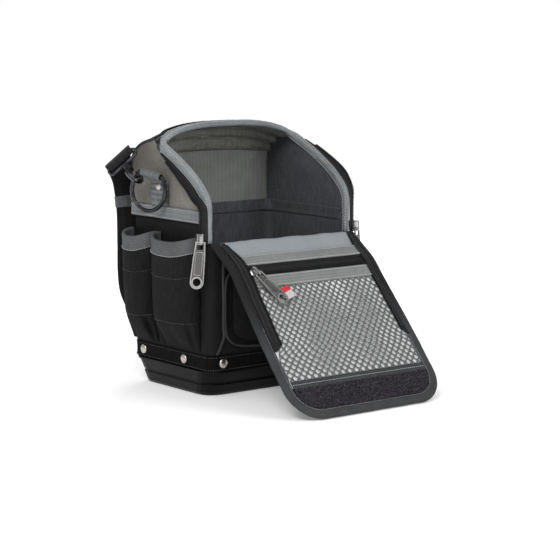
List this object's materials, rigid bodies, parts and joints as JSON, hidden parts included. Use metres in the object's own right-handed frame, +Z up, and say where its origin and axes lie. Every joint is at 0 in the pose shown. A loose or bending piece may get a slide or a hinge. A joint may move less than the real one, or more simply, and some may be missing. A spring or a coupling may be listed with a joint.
{
  "type": "hooded tool bag",
  "caption": "Compact hooded tool bag on a moulded tub, with side pockets, a zip-closed front flap with a net pocket, carry rings and a clip-on shoulder strap.",
  "frame": {"origin": "centre of the tub's flat bottom", "axes": "+Z up, -Y towards the front flap, +X to the right seen from the front"},
  "size_m": [0.2992, 0.356, 0.314],
  "materials": {
    "tub_plastic": "fine satin texture",
    "hem_fabric": "tight black weave",
    "black_fabric": "coarse black twill weave",
    "taupe_fabric": "fine taupe weave",
    "lip_fabric": "light grey binding tape",
    "grey_webbing": "ribbed grey webbing",
    "black_webbing": "ribbed black webbing",
    "grip_rubber": "matt grip",
    "hook_metal": "dark plated",
    "nickel": "satin nickel",
    "zip_black": "black zip tape and teeth",
    "net_fabric": "silver grey net",
    "loop_pile": "short loop pile"
  },
  "bodies": {
    "bag": {"base_tub": "tub_plastic", "floor_board": "hem_fabric", "base_hem_band": "hem_fabric", "body_shell": "black_fabric", "front_pocket": "black_fabric", "hood_shell": "black_fabric", "lip_binding": "lip_fabric", "inner_divider": "hem_fabric", "divider_binding": "grey_webbing", "inner_tool_pockets": "hem_fabric", "hood_hook_strip": "loop_pile", "shoulder_strap": "black_webbing", "gusset_left": "taupe_fabric", "gusset_right": "taupe_fabric", "main_zip_left": "zip_black", "main_zip_right": "zip_black", "side_band_left": "grey_webbing", "side_band_right": "grey_webbing", "pocket_wide_left": "black_fabric", "pocket_wide_right": "black_fabric", "pocket_narrow_left": "black_fabric", "pocket_narrow_right": "black_fabric", "pocket_binding_wide_left": "grey_webbing", "pocket_binding_wide_right": "grey_webbing", "pocket_binding_narrow_left": "grey_webbing", "pocket_binding_narrow_right": "grey_webbing", "ring_loop_left": "grey_webbing", "ring_loop_right": "grey_webbing", "strap_eye_left": "hook_metal", "strap_eye_right": "hook_metal", "handle_anchor_left": "black_webbing", "handle_anchor_right": "black_webbing"},
    "handle": {"carry_handle": "grip_rubber"},
    "flap_lower": {"flap_lower_panel": "black_fabric", "flap_webbing": "grey_webbing", "pocket_zip_upper": "zip_black"},
    "flap_middle": {"flap_middle_panel": "black_fabric", "pocket_zip_lower": "zip_black", "pocket_webbing": "grey_webbing", "mesh_pocket": "net_fabric", "flap_edge_left": "hem_fabric", "flap_edge_right": "hem_fabric", "flap_zip_left": "zip_black", "flap_zip_right": "zip_black"},
    "flap_tip": {"flap_tip_panel": "black_fabric", "flap_tip_edge": "hem_fabric", "flap_loop_strip": "loop_pile"},
    "pocket_slider": {"pocket_slider": "nickel"},
    "pocket_puller": {"pocket_puller": "nickel"},
    "ring_left": {"carry_ring_left": "hook_metal"},
    "hook_left": {"snap_hook_left": "hook_metal"},
    "gate_left": {"hook_gate_left": "hook_metal"},
    "main_slider_left": {"main_slider_left": "nickel"},
    "main_puller_left": {"main_puller_left": "nickel"},
    "ring_right": {"carry_ring_right": "hook_metal"},
    "hook_right": {"snap_hook_right": "hook_metal"},
    "gate_right": {"hook_gate_right": "hook_metal"},
    "main_slider_right": {"main_slider_right": "nickel"},
    "main_puller_right": {"main_puller_right": "nickel"}
  },
  "joints": [
    {"name": "flap_hinge", "type": "hinge", "parent": "bag", "child": "flap_lower", "pos_m": [0, -0.0835, 0.18], "axis": [-1, 0, 0], "range_deg": [0, 116]},
    {"name": "flap_middle_hinge", "type": "hinge", "parent": "flap_lower", "child": "flap_middle", "pos_m": [0, -0.12118, 0.15362], "axis": [-1, 0, 0], "range_deg": [0, 74]},
    {"name": "flap_tip_hinge", "type": "hinge", "parent": "flap_middle", "child": "flap_tip", "pos_m": [0, -0.21926, 0.03463], "axis": [-1, 0, 0], "range_deg": [0, 60.5]},
    {"name": "handle_hinge", "type": "hinge", "parent": "bag", "child": "handle", "pos_m": [0, 0.0875, 0.24], "axis": [1, 0, 0], "range_deg": [0, 150]},
    {"name": "pocket_slide", "type": "slide", "parent": "flap_middle", "child": "pocket_slider", "axis": [1, 0, 0], "range_m": [0, 0.148]},
    {"name": "pocket_puller_hinge", "type": "hinge", "parent": "pocket_slider", "child": "pocket_puller", "pos_m": [-0.0764, -0.13481, 0.1506], "axis": [-0.8829, -0.2986, -0.3623], "range_deg": [0, 100]},
    {"name": "main_slide_left", "type": "slide", "parent": "bag", "child": "main_slider_left", "axis": [0, 0, 1], "range_m": [0, 0.026]},
    {"name": "main_puller_hinge_left", "type": "hinge", "parent": "main_slider_left", "child": "main_puller_left", "pos_m": [-0.11687, -0.07909, 0.1836], "axis": [-0.9063, 0.4226, 0], "range_deg": [0, 120]},
    {"name": "ring_hinge_left", "type": "hinge", "parent": "bag", "child": "ring_left", "pos_m": [-0.11949, 0.01608, 0.25527], "axis": [-0.3505, 0.9132, 0.2079], "range_deg": [-4, 8]},
    {"name": "hook_swivel_left", "type": "hinge", "parent": "bag", "child": "hook_left", "pos_m": [-0.13085, 0.04567, 0.26026], "axis": [-0.2663, 0.6938, 0.6691], "range_deg": [-8, 8]},
    {"name": "gate_hinge_left", "type": "hinge", "parent": "hook_left", "child": "gate_left", "pos_m": [-0.12126, 0.04439, 0.25608], "axis": [-0.2398, 0.6247, -0.7431], "range_deg": [0, 20], "stiffness_Nm_per_rad": 0.02, "springref_deg": -17.19},
    {"name": "main_slide_right", "type": "slide", "parent": "bag", "child": "main_slider_right", "axis": [0, 0, 1], "range_m": [0, 0.026]},
    {"name": "main_puller_hinge_right", "type": "hinge", "parent": "main_slider_right", "child": "main_puller_right", "pos_m": [0.11687, -0.07909, 0.1836], "axis": [-0.9063, -0.4226, 0], "range_deg": [0, 120]},
    {"name": "ring_hinge_right", "type": "hinge", "parent": "bag", "child": "ring_right", "pos_m": [0.11949, 0.01608, 0.25527], "axis": [-0.3505, -0.9132, -0.2079], "range_deg": [-4, 8]},
    {"name": "hook_swivel_right", "type": "hinge", "parent": "bag", "child": "hook_right", "pos_m": [0.13085, 0.04567, 0.26026], "axis": [-0.2663, -0.6938, -0.6691], "range_deg": [-8, 8]},
    {"name": "gate_hinge_right", "type": "hinge", "parent": "hook_right", "child": "gate_right", "pos_m": [0.12126, 0.04439, 0.25608], "axis": [-0.2398, -0.6247, 0.7431], "range_deg": [0, 20], "stiffness_Nm_per_rad": 0.02, "springref_deg": -17.19}
  ],
  "couplings": [
    {"joint": "flap_middle_hinge", "follows": "flap_hinge", "ratio": 0.63362},
    {"joint": "flap_tip_hinge", "follows": "flap_hinge", "ratio": 0.51724}
  ]
}
